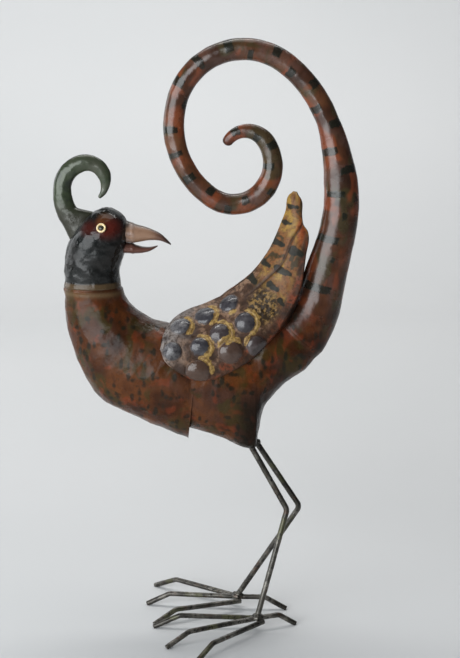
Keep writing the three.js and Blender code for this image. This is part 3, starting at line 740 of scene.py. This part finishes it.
# Tail: painted bars as length along, from and to across (inner edge 1, outer edge -1), half width
TAIL_BARS = [
    (53, 0.35, -1.2, 2.8), (83, 0.15, -0.05, 2), (102, 0.1, -1, 2.5), (127, 0.3, 0.05, 2.6),
    (149, 0.15, -0.85, 2), (172, 1.2, 0, 2.5), (192, 0.1, -1.2, 2.6), (217, 1.2, 0, 2.5),
    (237, -0.05, -1.2, 2.6), (259, 1.2, 0.1, 3), (282, 0.05, -0.8, 2.8), (304, 1.2, 0, 3),
    (309, -0.8, -1.2, 1.6), (328, 0, -1.2, 1.9), (349, 1.2, -0.1, 2.8), (380, 1.2, -0.5, 2.2),
    (406, 1.2, 0, 3.2), (424, -0.6, -1.2, 4), (451, 1.1, -0.4, 2), (475, 1, -0.4, 1.4),
    (501, 0.7, -0.5, 2.6), (525, -0.1, -0.9, 3), (548, 1.2, 0, 2.2), (566, 0.1, -0.7, 2.8),
    (590, 1.2, 0.3, 2.2), (613, 0.1, -1.2, 2.2), (633, 1.2, -0.2, 2.4), (649, 0, -1.2, 3.2),
    (671, 1.2, -0.3, 3),
]


def build_tail(material):
    rows = add_tip(tube_table(TAIL_ROOT, TAIL_ARCS, 1.5))
    # The first rings dive under the rump's skin, which dives under the tail's in turn
    tucked = np.repeat(rows[:1], 4, axis=0)
    inside = np.array([6.0, 4.0, 2.0, 1.0])
    tucked[:, 0] -= inside * math.cos(rows[0, 2])
    tucked[:, 1] -= inside * math.sin(rows[0, 2])
    tucked[:, 3] -= 0.04 * inside ** 2 + 0.05 * inside
    rows = np.vstack([tucked, rows])
    # The root shares the body's fuller section
    fuller = soft_step(rows[:, 4], 30, 0)[:, None, None]
    grid = (tube_grid(rows, rows[:, 3] * TAIL_FLATNESS, TUBE_SIDES) * (1 - fuller)
            + tube_grid(rows, rows[:, 3] * TAIL_FLATNESS, TUBE_SIDES, FULLNESS) * fuller)
    start = soft_step(rows[:, 4], 0, 12)[:, None]
    grid = dented(grid, "tail", start)
    across = np.cos(ring_angles(TUBE_SIDES))
    along, width = rows[:, 4:5], rows[:, 3:4]
    bars = np.full(grid.shape[:2], OUTSIDE)
    for at, inner, outer, half in TAIL_BARS:
        far_along = np.abs(along - at) - half - 1.2
        far_across = np.maximum(across - inner, outer - across) * width
        bars = np.maximum(bars, -np.maximum(far_along, far_across))
    shade = 0.5 * soft_step(along, 676, 682)
    dark = 0.5 * blob_field(grid, (104, -10, 262), (20, 30, 20), 0.2)
    tailward = soft_step(along, 0, 45)
    fields = {"bars": bars, "shade": np.maximum(shade, dark), "tail": tailward,
              "spotted": 1 - tailward, "band": 0.0}
    make_piece("tail_tube", grid, ["tail"], material, fields)


def build_crest():
    rows = add_tip(tube_table(CREST_ROOT, CREST_ARCS, 1.0))
    depth = np.minimum(rows[:, 3] * CREST_FLATNESS, CREST_HALF_DEPTH)
    grid = dented(tube_grid(rows, depth, TUBE_SIDES), "crest")
    across = np.cos(ring_angles(TUBE_SIDES))
    # The root spreads forward over the crown
    lower_part = rows[:, 4:5] < 70
    spread = 17 * soft_step(grid[..., 2], 434.5, 428.0) * soft_step(grid[..., 2], 396, 412)
    grid[..., 0] += spread * np.clip(across, 0, 1) ** 0.7 * lower_part
    # Painted shade over the crest's root, darkest down where it meets the crown
    root = 0.85 * soft_step(grid[..., 2], 447, 422) * lower_part
    make_piece("crest_plume", grid, ["crest"], crest_paint(),
               {"edge": soft_step(-across, 0.9, 1.0), "root": root})


def build_beak():
    upper = horn_paint("upper beak enamel", HORN, DARK_HORN)
    lower = horn_paint("lower beak enamel", RED_HORN, DEEP_BROWN)
    sides, cuff_x = 48, -96.5
    for node, stations, paint in (("upper_beak", UPPER_BEAK, upper), ("lower_beak", LOWER_BEAK, lower)):
        run = smooth_run(stations, np.linspace(0, len(stations) - 1, 130))
        x, top, bottom, half_depth = run.T[:, :, None]
        half_depth = np.maximum(half_depth[:, 0], 0.2)
        grid = section_rings(run[:, [0, 1]], run[:, [0, 2]], half_depth, sides, ROUND)
        cuff = 0.35 * np.exp(-((x - cuff_x) / 1.6) ** 2)
        grid = grid + unit(grid - grid.mean(axis=1, keepdims=True)) * cuff[..., None]
        grid = dented(grid, "beak")
        # Dark along the ridge and at the point, with painted shade under the brow where the beak meets
        # the head
        height = (grid[..., 2] - bottom) / np.maximum(top - bottom, 0.1)
        ridge = soft_step(height, 0.78, 1.0) * soft_step(x, -104, -99)
        brow_shade = soft_step(grid[..., 2] - 0.8 * (grid[..., 0] + 104), 410, 417)
        dark = np.maximum(np.maximum(0.75 * ridge, 0.95 * brow_shade), 0.75 * soft_step(x, -68, -61))
        # The cuff field carries the painted highlight on the upper beak's base
        fields = {"tip": soft_step(x, -96, -60), "dark": dark,
                  "cuff": soft_step(-x, 93, 97) * (node == "upper_beak")}
        make_piece(node + "_horn", grid, [node], paint, fields)


def head_skin(t, turn, side):
    """Point of the head's skin, `turn` radians round it from the front towards one side."""
    (back,), (front,) = body_edges(HEAD, t)
    ahead, aside = [np.sign(f(turn)) * abs(f(turn)) ** (2 / FULLNESS) for f in (math.cos, math.sin)]
    middle = (back + front) / 2
    reach = (front - back) / 2
    return np.array([middle[0] + reach[0] * ahead, side * back[1] * aside,
                     middle[2] + reach[2] * ahead])


def build_eyes():
    ring, pupil, stand = 4.75, 2.65, 1.6
    inner = pupil * 1.08
    # Radius and stand over the skin: the domed pupil, then the rolled ring and its foot
    profile = [(0.02, stand * 1.0), (pupil * 0.35, stand * 0.97), (pupil * 0.65, stand * 0.82),
               (pupil * 0.88, stand * 0.5), (pupil, stand * 0.25), (inner, stand * 0.4)]
    for angle in math.pi * (1 - np.arange(11) / 10):
        profile.append(((inner + ring) / 2 + (ring - inner) / 2 * math.cos(angle),
                        stand * (0.4 + 0.62 * math.sin(angle))))
    profile += [(ring, 0.0), (ring, -2.0), (ring * 0.9, -3.5)]
    profile = np.array(profile)
    radius, lift = profile[:, :1], profile[:, None, 1:2]
    paint = eye_paint()
    eye_t, eye_turn, probe = 3.6, math.pi / 2, 0.05
    for name, side in (("left", -1), ("right", 1)):
        spot = head_skin(eye_t, eye_turn, side)
        out = unit(np.cross(head_skin(eye_t + probe, eye_turn, side) - spot,
                            head_skin(eye_t, eye_turn + probe, side) - spot))
        out = out * np.sign(out[1]) * side
        first = unit(np.cross(out, [0, 0, 1.0]))
        grid = spot + lift * out + radius[..., None] * circle(64, first, np.cross(out, first))
        fields = {"pupil": soft_step(radius, pupil * 1.1, pupil * 0.95),
                  "rim": 0.8 * soft_step(radius, ring * 0.95, ring)}
        make_piece(name + "_eye_ring", grid, [name + "_eye"], paint, fields)


# Wings

WING_DOMES = [
    # x, z, radius, brown share, and the rim's ends in degrees round the dome
    (-49.5, 319.8, 11, 0, -50, 60), (-24.8, 329, 11, 0, -60, 70),
    (-0.8, 340.6, 10.5, 0, -100, -30), (-57, 297.2, 10, 0, 0, 0),
    (-29.6, 302, 9.8, 0, -80, 115), (-9.8, 313.6, 11, 0.3, -65, 105),
    (15.4, 324.4, 11, 0.1, -75, 95), (0.3, 296.2, 12, 0.9, 35, 165),
    (26.4, 301.8, 10.5, 0.4, 120, 175), (-31, 277.6, 12, 1, -20, 95),
]
DOME_RISE = 4.4
# Middle x and z, and radii, of the stippled ground and of the red on the rear feather
STIPPLED, EMBER = ((33, 340), (17, 20)), ((70, 412), (7, 16))
WING_BARS = [
    # from x, z to x, z, half width, in the drawing plane
    (59.5, 436.3, 65.5, 436, 2), (53.5, 421, 60, 419.8, 2), (42.5, 402, 51.5, 399, 3.2),
    (29, 383.5, 38, 378.5, 3.6), (17, 368.5, 24.5, 362, 4.4), (61.5, 394.5, 70.5, 390.5, 3.9),
    (47, 376, 58.5, 371.5, 3.3), (38.5, 361, 46.4, 355.7, 2.8), (49, 346, 53, 341, 2.4),
]


def wing_face(t, u):
    """Points and outward directions (n, m, 3) of the left wing's outer face."""
    table = np.array(WING, float)
    last = len(table) - 1
    upper = smooth_run(table[:, 0:3], t)
    lower = smooth_run(table[:, 3:6], t)
    bulge = np.interp(t, np.arange(last + 1), table[:, 6])
    ahead, behind = np.clip(t + 0.5, 0, last), np.clip(t - 0.5, 0, last)
    edges = table[:, 0:3], table[:, 3:6]
    along = sum(smooth_run(edge, ahead) - smooth_run(edge, behind) for edge in edges)
    out = unit(np.cross(along, lower - upper))
    out = out * -np.sign(out[:, 1:2])
    u = np.asarray(u)[None, :, None]
    point = upper[:, None] * (1 - u) + lower[:, None] * u
    point = point + out[:, None] * bulge[:, None, None] * np.sin(np.pi * u)
    return point, np.broadcast_to(out[:, None], point.shape)


def segment_field(x, z, x0, z0, x1, z1, half):
    """Millimetres inside a round-ended stroke that narrows along its length, negative outside it."""
    length = math.hypot(x1 - x0, z1 - z0)
    share = np.clip(((x - x0) * (x1 - x0) + (z - z0) * (z1 - z0)) / length ** 2, 0, 1)
    distance = np.hypot(x - x0 - share * (x1 - x0), z - z0 - share * (z1 - z0))
    return half * (1.1 - 0.55 * share) - distance


def wing_relief(point, t, u):
    """Height over the face and paint fields on the wing's grid."""
    x, z = point[..., 0], point[..., 2]
    t, u = t[:, None], u[None, :]
    height, mauve = np.zeros((2, *x.shape))
    dome, gold = np.full((2, *x.shape), OUTSIDE)
    edge_keep = soft_step(u, 0.0, 0.06) * soft_step(1 - u, 0.0, 0.06)
    for at_x, at_z, radius, mauve_share, rim_from, rim_to in WING_DOMES:
        nearest = np.argmin((x - at_x) ** 2 + (z - at_z) ** 2)
        centre = point.reshape(-1, 3)[nearest]
        distance = np.linalg.norm(point - centre, axis=-1)
        rise = DOME_RISE * np.clip(1 - (distance / radius) ** 2, 0, 1) ** 0.65
        height = np.maximum(height, rise)
        dome = np.maximum(dome, radius - distance)
        mauve = np.where(distance < radius + 1, mauve_share, mauve)
        moat = -0.35 * np.exp(-((distance - radius - 0.4) / 0.9) ** 2)
        height = height + moat * (distance > radius - 0.5)
        if rim_to > rim_from:
            turn = np.degrees(np.arctan2(z - centre[2], x - centre[0]))
            turn = np.where(turn < rim_from - 30, turn + 360, turn)
            inside = np.minimum(turn - rim_from, rim_to - turn)
            taper = soft_step(inside, -6, 22)
            stroke = 2.7 * taper - np.abs(distance - radius - 1.4)
            gold = np.maximum(gold, np.where(taper > 0, stroke, OUTSIDE))
            height = height + 1.3 * taper * np.exp(-((distance - radius - 1.4) / 1.3) ** 2)
    bars = np.max([segment_field(x, z, *bar) for bar in WING_BARS], axis=0)
    route = wing_route()
    far = -np.max([segment_field(x, z, *a, *b, 0.0) for a, b in zip(route[:-1], route[1:])], axis=0)
    height = height - 1.0 * np.exp(-(far / 1.3) ** 2)
    stipple = blob_field(point[..., [0, 2]], *STIPPLED, core=0.6, edge=1.1)
    height = height + stipple * 0.35 * waves(point, 2.2, 61)
    feather = soft_step(t, 6.6, 8.2)
    outer_stretch = soft_step(t, 3, 6) * soft_step(t, 11.5, 10.5)
    inner_stretch = soft_step(t, 1, 3) * soft_step(t, 6, 4)
    rear = soft_step(u, 0.8, 0.93) * np.maximum(outer_stretch, inner_stretch)
    fields = {"dome": dome, "gold": gold, "mauve": mauve, "bars": bars, "stipple": stipple,
              # groove: painted shade along the groove between the feathers
              "feather": feather * (1 - rear), "rear": rear, "groove": 0.85 * np.exp(-(far / 1.4) ** 2),
              "ember": 0.8 * blob_field(point[..., [0, 2]], *EMBER, core=0.4, edge=1.1),
              # front: painted highlight over the wing's front
              "front": 0.9 * soft_step(t + 1.6 * u, 4.6, 1.8)}
    return height * edge_keep, fields


def wing_route():
    """The groove's line on the wing, as x and z."""
    places = smooth_run(np.array(GROOVE), np.linspace(0, len(GROOVE) - 1, 24))
    points = [wing_face(np.array([t]), np.array([u]))[0][0, 0] for t, u in places]
    return [(p[0], p[2]) for p in points]


def build_wing(name, side, paint):
    """Pressed plate, thick where it lies on the body and thin where its feathers stand free."""
    t = np.linspace(0, len(WING) - 1, 330)
    u = np.linspace(0, 1, 86)
    point, out = wing_face(t, u)
    height, fields = wing_relief(point, t, u)
    marks = 0.35 * (dimples(point, 9, 71) - 0.6) + 0.25 * waves(point, 5, 73)
    front = point + out * (height + marks)[..., None]
    filling = WING_FILL * soft_step(t, *WING_FREE)
    depth = WING_SHEET + filling[:, None] * soft_step(u, 0.05, 0.5)[None, :]
    rear = point - out * depth[..., None]
    grid = np.concatenate([front, rear[:, ::-1]], axis=1)
    grid[..., 1] = np.minimum(grid[..., 1], -0.2)
    blank = {"dome": OUTSIDE, "gold": OUTSIDE, "bars": OUTSIDE, "rear": 1.0}
    for key, value in fields.items():
        back = np.full(value.shape, blank.get(key, 0.0))
        fields[key] = np.concatenate([value, back], axis=1)
    # The tip is a little broader than the frame's
    rounder = soft_step(t, 11.4, 12.6) * soft_step(t, 14, 13.2)
    centre = grid[:, :, 0].mean(axis=1, keepdims=True)
    grid[..., 0] = centre + (grid[..., 0] - centre) * (1 + 0.22 * rounder[:, None])
    # The front feather's edge steps in above the rear feather's tip
    across = np.concatenate([u, u[::-1]])[None, :]
    notch = soft_step(grid[..., 2], 412.5, 419.5) * soft_step(grid[..., 2], 443, 428)
    grid[..., 0] -= NOTCH_DEPTH * notch * soft_step(across, 0.72, 1.0)
    if side > 0:
        # Hidden behind the near wing in the photograph
        shy = 9 * soft_step(t, 5.6, 3.2)[:, None]
        grid[..., 2] -= shy * soft_step(grid[..., 2], 296, 320) + 4.5 * soft_step(t, 7, 12)[:, None]
        grid = grid * [1, -1, 1]
    make_piece(name + "_wing_plate", grid, [name + "_wing"], paint, fields)


# Legs and toes

def bent_path(corners, radius, step=1.5):
    """Points along straight stretches joined by round bends."""
    corners = [np.array(c, float) for c in corners]
    points = [corners[0]]
    for before, corner, after in zip(corners[:-2], corners[1:-1], corners[2:]):
        a, b = unit(before - corner), unit(after - corner)
        half = math.acos(np.clip(np.dot(a, b), -1, 1)) / 2
        start = corner + a * radius / math.tan(half)
        centre = corner + unit(a + b) * radius / math.sin(half)
        spoke = start - centre
        axis = unit(np.cross(a, b))
        for share in np.linspace(0, 1, 9):
            turn = -(math.pi - 2 * half) * share
            points.append(centre + spoke * math.cos(turn) + np.cross(axis, spoke) * math.sin(turn))
    points.append(corners[-1])
    dense = [points[0]]
    for a, b in zip(points[:-1], points[1:]):
        count = max(1, round(float(np.linalg.norm(b - a)) / step))
        dense += [a + (b - a) * i / count for i in range(1, count + 1)]
    return np.array(dense)


def rod_grid(path, radius, sides=28, seed=0):
    """Rings square to a path, with chamfered ends and a slightly uneven surface."""
    tangent = unit(np.gradient(path, axis=0))
    first = np.cross(tangent[0], [0.3, 0.2, 0.9])
    rings = []
    for spot, ahead in zip(path, tangent):
        first = unit(first - ahead * np.dot(first, ahead))
        rings.append(spot + radius * circle(sides, first, np.cross(ahead, first)))
    grid = np.array(rings)
    away = (grid - path[:, None]) / radius
    grid = grid + away * (0.1 * waves(grid, 4, seed) - 0.08)[..., None]
    ends = []
    for index, sign in ((0, -1), (-1, 1)):
        ends.append(path[index] + (grid[index] - path[index]) * (1 - ROD_CHAMFER / radius))
        grid[index] = grid[index] - tangent[index] * sign * ROD_CHAMFER * 0.6
    return np.concatenate([ends[0][None], grid, ends[1][None]])


def toe_corners(start, yaw, toe, share):
    """Knuckle and tip of a toe that sets off from `start`."""
    turn, reach = toe
    heading = math.radians(yaw + turn)
    direction = np.array([-math.cos(heading), math.sin(heading), 0])
    knuckle = start + direction * reach * share
    knuckle[2] = KNUCKLE_HEIGHT
    tip = start + direction * reach
    tip[2] = TOE_ROD / 2 - SOLE_DEPTH
    return [knuckle, tip]


def build_rod(name, corners, diameter, radius, node, paint, seed):
    grid = rod_grid(bent_path(corners, radius), diameter / 2, seed=seed)
    grid[..., 2] = np.maximum(grid[..., 2], 0.0)
    make_piece(name, grid, [node], paint)


def weld_bead(name, centre, size, paint, seed):
    """Lumpy bead of weld metal round a joint."""
    rings, sides = 36, 48
    polar = np.linspace(0.02, math.pi - 0.02, rings)
    level = circle(sides, *np.eye(3)[:2])
    ball = np.sin(polar)[:, None, None] * level + np.cos(polar)[:, None, None] * [0, 0, 1.0]
    grid = centre + ball * size
    swell = 1 + 0.14 * waves(grid, 3.5, seed) + 0.08 * waves(grid, 1.6, seed + 1)
    grid = centre + ball * size * swell[..., None]
    make_piece(name, grid, [], paint)


def build_feet():
    steel = steel_paint("bare steel")
    weld = steel_paint("weld metal", weld=True)
    for side, leg in LEGS.items():
        toes = TOES[side]
        yaw = toes["yaw"]
        seed = 80 if side == "left" else 90
        ankle = np.array([*leg["ankle"], ANKLE_HEIGHT])
        hip, knee = np.array(leg["hip"], float), np.array(leg["knee"], float)
        top = knee + (hip - knee) * (1 + HIP_SUNK / np.linalg.norm(hip - knee))
        end = ankle + [0, 0, 2]
        build_rod(side + "_leg_rod", [top, knee, end], LEG_ROD, KNEE_RADIUS, side + "_leg", steel, seed)
        back = toe_corners(ankle, yaw, toes["hind"], HIND_KNUCKLE_AT)
        front = toe_corners(ankle, yaw, toes["middle"], KNUCKLE_AT)
        build_rod(side + "_middle_toe_rod", back[::-1] + [ankle] + front, TOE_ROD, KNUCKLE_RADIUS,
                  side + "_middle_toe", steel, seed + 1)
        heading = math.radians(yaw)
        forward = np.array([-math.cos(heading), math.sin(heading), 0])
        for i, toe in enumerate(("outer", "inner")):
            turn = toes[toe][0]
            across = np.cross([0, 0, -np.sign(turn)], forward)
            beside = math.sqrt((TOE_ROD + ROD_GAP) ** 2 - TOE_DROP ** 2)
            start = ankle - forward * TOE_OVERRUN + across * beside
            start[2] -= TOE_DROP
            corners = [start] + toe_corners(start, yaw, toes[toe], KNUCKLE_AT)
            build_rod(f"{side}_{toe}_toe_rod", corners, TOE_ROD, KNUCKLE_RADIUS, f"{side}_{toe}_toe",
                      steel, seed + 2 + i)
        weld_bead(side + "_ankle_weld", ankle + ANKLE_WELD_OFFSET, ANKLE_WELD, weld, seed + 5)
        weld_bead(side + "_hip_weld", hip + HIP_WELD_OFFSET, HIP_WELD, weld, seed + 6)


# Stage, light and camera, in metres from here

SWEEP_HALF_WIDTH, SWEEP_FRONT, SWEEP_BEND, SWEEP_RADIUS, SWEEP_TOP = 4.0, -3.0, 1.6, 0.8, 4.0
# The image's focal length and height in pixels, and the camera's place and tilt solved from them
FOCAL_PIXELS, IMAGE_HEIGHT = 1489.52, 658
CAMERA_DISTANCE, CAMERA_HEIGHT, CAMERA_TILT = 1.46722, 0.62298, 12
SENSOR = 36
DAYLIGHT = (0.95, 0.98, 1.0)
# Name, place, target, size, power, colour
LIGHTS = [
    ("window", (-1.06, -1.4, 0.74), (0, 0, 0.74), (1.9, 1.38), 46, DAYLIGHT),
    ("rear window", (-1.95, 0.75, 0.75), (0, 0, 0.75), (1.6, 1.2), 13, DAYLIGHT),
    ("ceiling", (0.0, 0.0, 2.4), (0, 0, 0.3), (1.4, 1.0), 8, (1.0, 0.985, 0.96)),
    ("wall wash", (-0.1, 0.9, 2.7), (-0.2, 2.3, 0.8), (3.0, 0.8), 60, (1.0, 0.995, 0.98)),
]


def build_stage():
    """Pale floor that bends up into a wall behind the object."""
    floor = Paint("pale floor")
    floor.colour = floor.ramp(floor.noise(400, 2, seed=71), (0.3, (0.59, 0.6, 0.605)),
                              (0.7, (0.615, 0.62, 0.625)))
    floor.finish(0.55)
    profile = [(SWEEP_FRONT, 0.0), (SWEEP_BEND, 0.0)]
    for angle in math.pi / 2 * np.arange(1, 17) / 16:
        profile.append((SWEEP_BEND + SWEEP_RADIUS * math.sin(angle),
                        SWEEP_RADIUS * (1 - math.cos(angle))))
    profile.append((SWEEP_BEND + SWEEP_RADIUS, SWEEP_TOP))
    vertices = [(x, y, z) for y, z in profile for x in (-SWEEP_HALF_WIDTH, SWEEP_HALF_WIDTH)]
    faces = [(2 * i, 2 * i + 1, 2 * i + 3, 2 * i + 2) for i in range(len(profile) - 1)]
    mesh = bpy.data.meshes.new("studio_sweep")
    mesh.from_pydata(vertices, [], faces)
    mesh.shade_smooth()
    mesh.materials.append(floor.material)
    placed("studio_sweep", mesh)


def build_light():
    world = bpy.data.worlds.new("studio")
    bpy.context.scene.world = world
    world.use_nodes = True
    background = world.node_tree.nodes["Background"]
    background.inputs["Color"].default_value = (0.8, 0.88, 1.0, 1)
    background.inputs["Strength"].default_value = 0.08
    for name, place, target, size, power, colour in LIGHTS:
        data = bpy.data.lights.new(name, "AREA")
        data.shape = "RECTANGLE"
        data.size, data.size_y = size
        data.energy = power
        data.color = colour
        light = placed(name, data)
        light.location = place
        aim = Vector(target) - Vector(place)
        light.rotation_euler = aim.to_track_quat("-Z", "Y").to_euler()


def build_camera():
    data = bpy.data.cameras.new("photo view")
    data.sensor_width = SENSOR
    data.lens = FOCAL_PIXELS / IMAGE_HEIGHT * SENSOR
    camera = placed("photo view", data)
    camera.location = (SHIFT[0] * MM, SHIFT[1] * MM - CAMERA_DISTANCE, CAMERA_HEIGHT)
    camera.rotation_euler = (math.radians(90 - CAMERA_TILT), 0, 0)
    bpy.context.scene.camera = camera


plumage_paint = plumage()
build_head()
build_breast(plumage_paint)
build_rump(plumage_paint)
build_tail(plumage_paint)
build_crest()
build_beak()
build_eyes()
wing_enamel = wing_paint()
build_wing("left", -1, wing_enamel)
build_wing("right", 1, wing_enamel)
build_feet()
build_stage()
build_light()
build_camera()
bpy.context.scene.view_settings.view_transform = "Standard"
